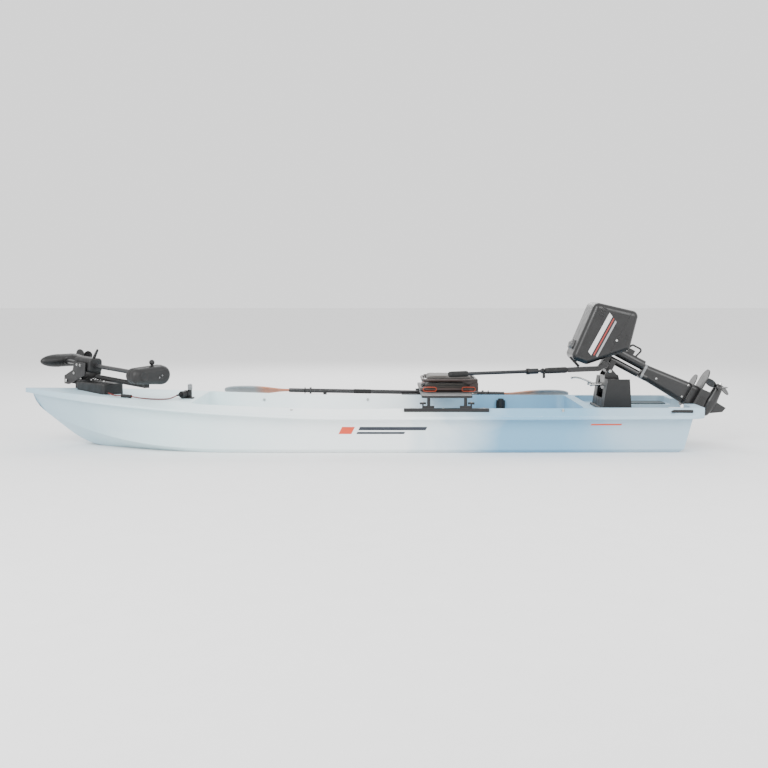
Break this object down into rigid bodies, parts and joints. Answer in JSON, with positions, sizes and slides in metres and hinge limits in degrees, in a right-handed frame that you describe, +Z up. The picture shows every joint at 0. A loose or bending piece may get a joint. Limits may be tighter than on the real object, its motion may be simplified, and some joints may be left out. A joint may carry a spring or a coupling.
{
  "type": "power skiff",
  "caption": "Decked flat-bottomed power skiff with a tilted outboard, sliding bench and folding seat, paddle in clips and a stowed bow trolling motor.",
  "frame": {"origin": "on the underside of the hull amidships, on the centreline", "axes": "+X to the bow, +Y to port, +Z up"},
  "size_m": [4.5999, 1.073, 0.9228],
  "materials": {
    "hull_plastic": "satin",
    "deck_foam": "matt foam",
    "black_plastic": "satin",
    "fuel_cap_plastic": "satin",
    "cowl_plastic": "gloss",
    "motor_paint": "satin",
    "engine_metal": "raw",
    "frame_paint": "powder coat",
    "seat_tube": "powder coat",
    "stainless": "brushed",
    "seat_fabric": "woven",
    "paddle_shaft_plastic": "gloss",
    "paddle_blade_plastic": "satin",
    "grip_rubber": "ribbed",
    "extension_alloy": "anodised",
    "trolling_shaft_composite": "composite",
    "trolling_propeller_plastic": "satin",
    "lead_jacket": "satin",
    "coil_jacket": "satin",
    "cap_plastic": "translucent"
  },
  "bodies": {
    "skiff": {"hull": "hull_plastic", "stern_pads": "deck_foam", "seat_rails": "black_plastic", "stern_grips": "black_plastic", "rod_tube": "black_plastic", "pad_eyes": "stainless", "paddle_shaft": "paddle_shaft_plastic", "paddle_blades": "paddle_blade_plastic", "paddle_clips": "black_plastic", "motor_mount": "frame_paint", "transom_board": "frame_paint", "clamp_bracket": "motor_paint", "clamp_screws": "stainless", "tilt_lever": "stainless", "trolling_base": "black_plastic", "power_lead_fore": "lead_jacket", "power_lead_aft": "lead_jacket", "lead_connector": "black_plastic", "power_plug": "black_plastic", "power_socket": "black_plastic", "socket_cap": "cap_plastic"},
    "outboard_swivel": {"swivel_bracket": "motor_paint"},
    "outboard": {"cowl": "cowl_plastic", "lower_cowl": "cowl_plastic", "engine_block": "engine_metal", "fuel_cap": "fuel_cap_plastic", "steering_bracket": "motor_paint", "driveshaft_housing": "motor_paint", "gearcase": "motor_paint", "starter_handle": "black_plastic", "shift_lever": "black_plastic", "rear_handle": "black_plastic"},
    "outboard_screw": {"outboard_propeller": "motor_paint"},
    "tiller": {"tiller_arm": "motor_paint", "throttle_grip": "grip_rubber", "tiller_joint": "black_plastic"},
    "extension": {"extension_tube": "extension_alloy", "extension_grip": "grip_rubber"},
    "bench": {"bench_platform": "black_plastic", "bench_posts": "frame_paint", "bench_knobs": "black_plastic", "seat_frame": "seat_tube", "seat_cushion": "seat_fabric"},
    "seat_back": {"back_frame": "seat_tube", "back_cushion": "seat_fabric"},
    "trolling_arm": {"trolling_arms": "frame_paint", "steering_housing": "black_plastic", "release_lever": "black_plastic"},
    "trolling_head": {"trolling_head": "black_plastic", "head_knob": "black_plastic", "depth_collar": "black_plastic", "coil_cord": "coil_jacket"},
    "trolling_shaft": {"trolling_shaft": "trolling_shaft_composite", "trolling_motor": "frame_paint"},
    "trolling_screw": {"trolling_propeller": "trolling_propeller_plastic"}
  },
  "joints": [
    {"name": "outboard_tilt", "type": "hinge", "parent": "skiff", "child": "outboard_swivel", "pos_m": [-1.633, 0, 0.483], "axis": [0, -1, 0], "range_deg": [0, 62]},
    {"name": "outboard_steer", "type": "hinge", "parent": "outboard_swivel", "child": "outboard", "pos_m": [-1.6668, 0, 0.54657], "axis": [0.8829, 0, 0.4695], "range_deg": [-40, 40]},
    {"name": "tiller_fold", "type": "hinge", "parent": "outboard", "child": "tiller", "pos_m": [-1.56, 0.075, 0.5], "axis": [0, -1, 0], "range_deg": [-62, 0]},
    {"name": "extension_swivel", "type": "hinge", "parent": "tiller", "child": "extension", "pos_m": [-1.19535, 0.075, 0.48408], "axis": [0.8829, 0, 0.4695], "range_deg": [-40, 40]},
    {"name": "outboard_propeller_spin", "type": "hinge", "parent": "outboard", "child": "outboard_screw", "pos_m": [-2.3617, 0, 0.373], "axis": [0.4695, 0, -0.8829], "continuous": true},
    {"name": "trolling_deploy", "type": "hinge", "parent": "skiff", "child": "trolling_arm", "pos_m": [1.91, -0.24, 0.4], "axis": [0.6984, 0.7157, 0], "range_deg": [0, 92.25]},
    {"name": "trolling_depth", "type": "slide", "parent": "trolling_arm", "child": "trolling_head", "axis": [0.7151, -0.6979, 0.0393], "range_m": [0, 0.2]},
    {"name": "trolling_steer", "type": "hinge", "parent": "trolling_head", "child": "trolling_shaft", "pos_m": [2.01753, -0.34493, 0.52399], "axis": [-0.7151, 0.6979, -0.0393], "range_deg": [-180, 180]},
    {"name": "trolling_propeller_spin", "type": "hinge", "parent": "trolling_shaft", "child": "trolling_screw", "pos_m": [1.90334, -0.46195, 0.52399], "axis": [0.6984, 0.7157, 0], "continuous": true},
    {"name": "bench_slide", "type": "slide", "parent": "skiff", "child": "bench", "axis": [1, 0, 0], "range_m": [-0.045, 0.09]},
    {"name": "seat_back_fold", "type": "hinge", "parent": "bench", "child": "seat_back", "pos_m": [-0.765, 0, 0.404], "axis": [0, -1, 0], "range_deg": [0, 100]}
  ],
  "couplings": [
    {"joint": "tiller_fold", "follows": "outboard_tilt", "ratio": -1},
    {"joint": "extension_swivel", "follows": "outboard_steer", "ratio": -1}
  ]
}
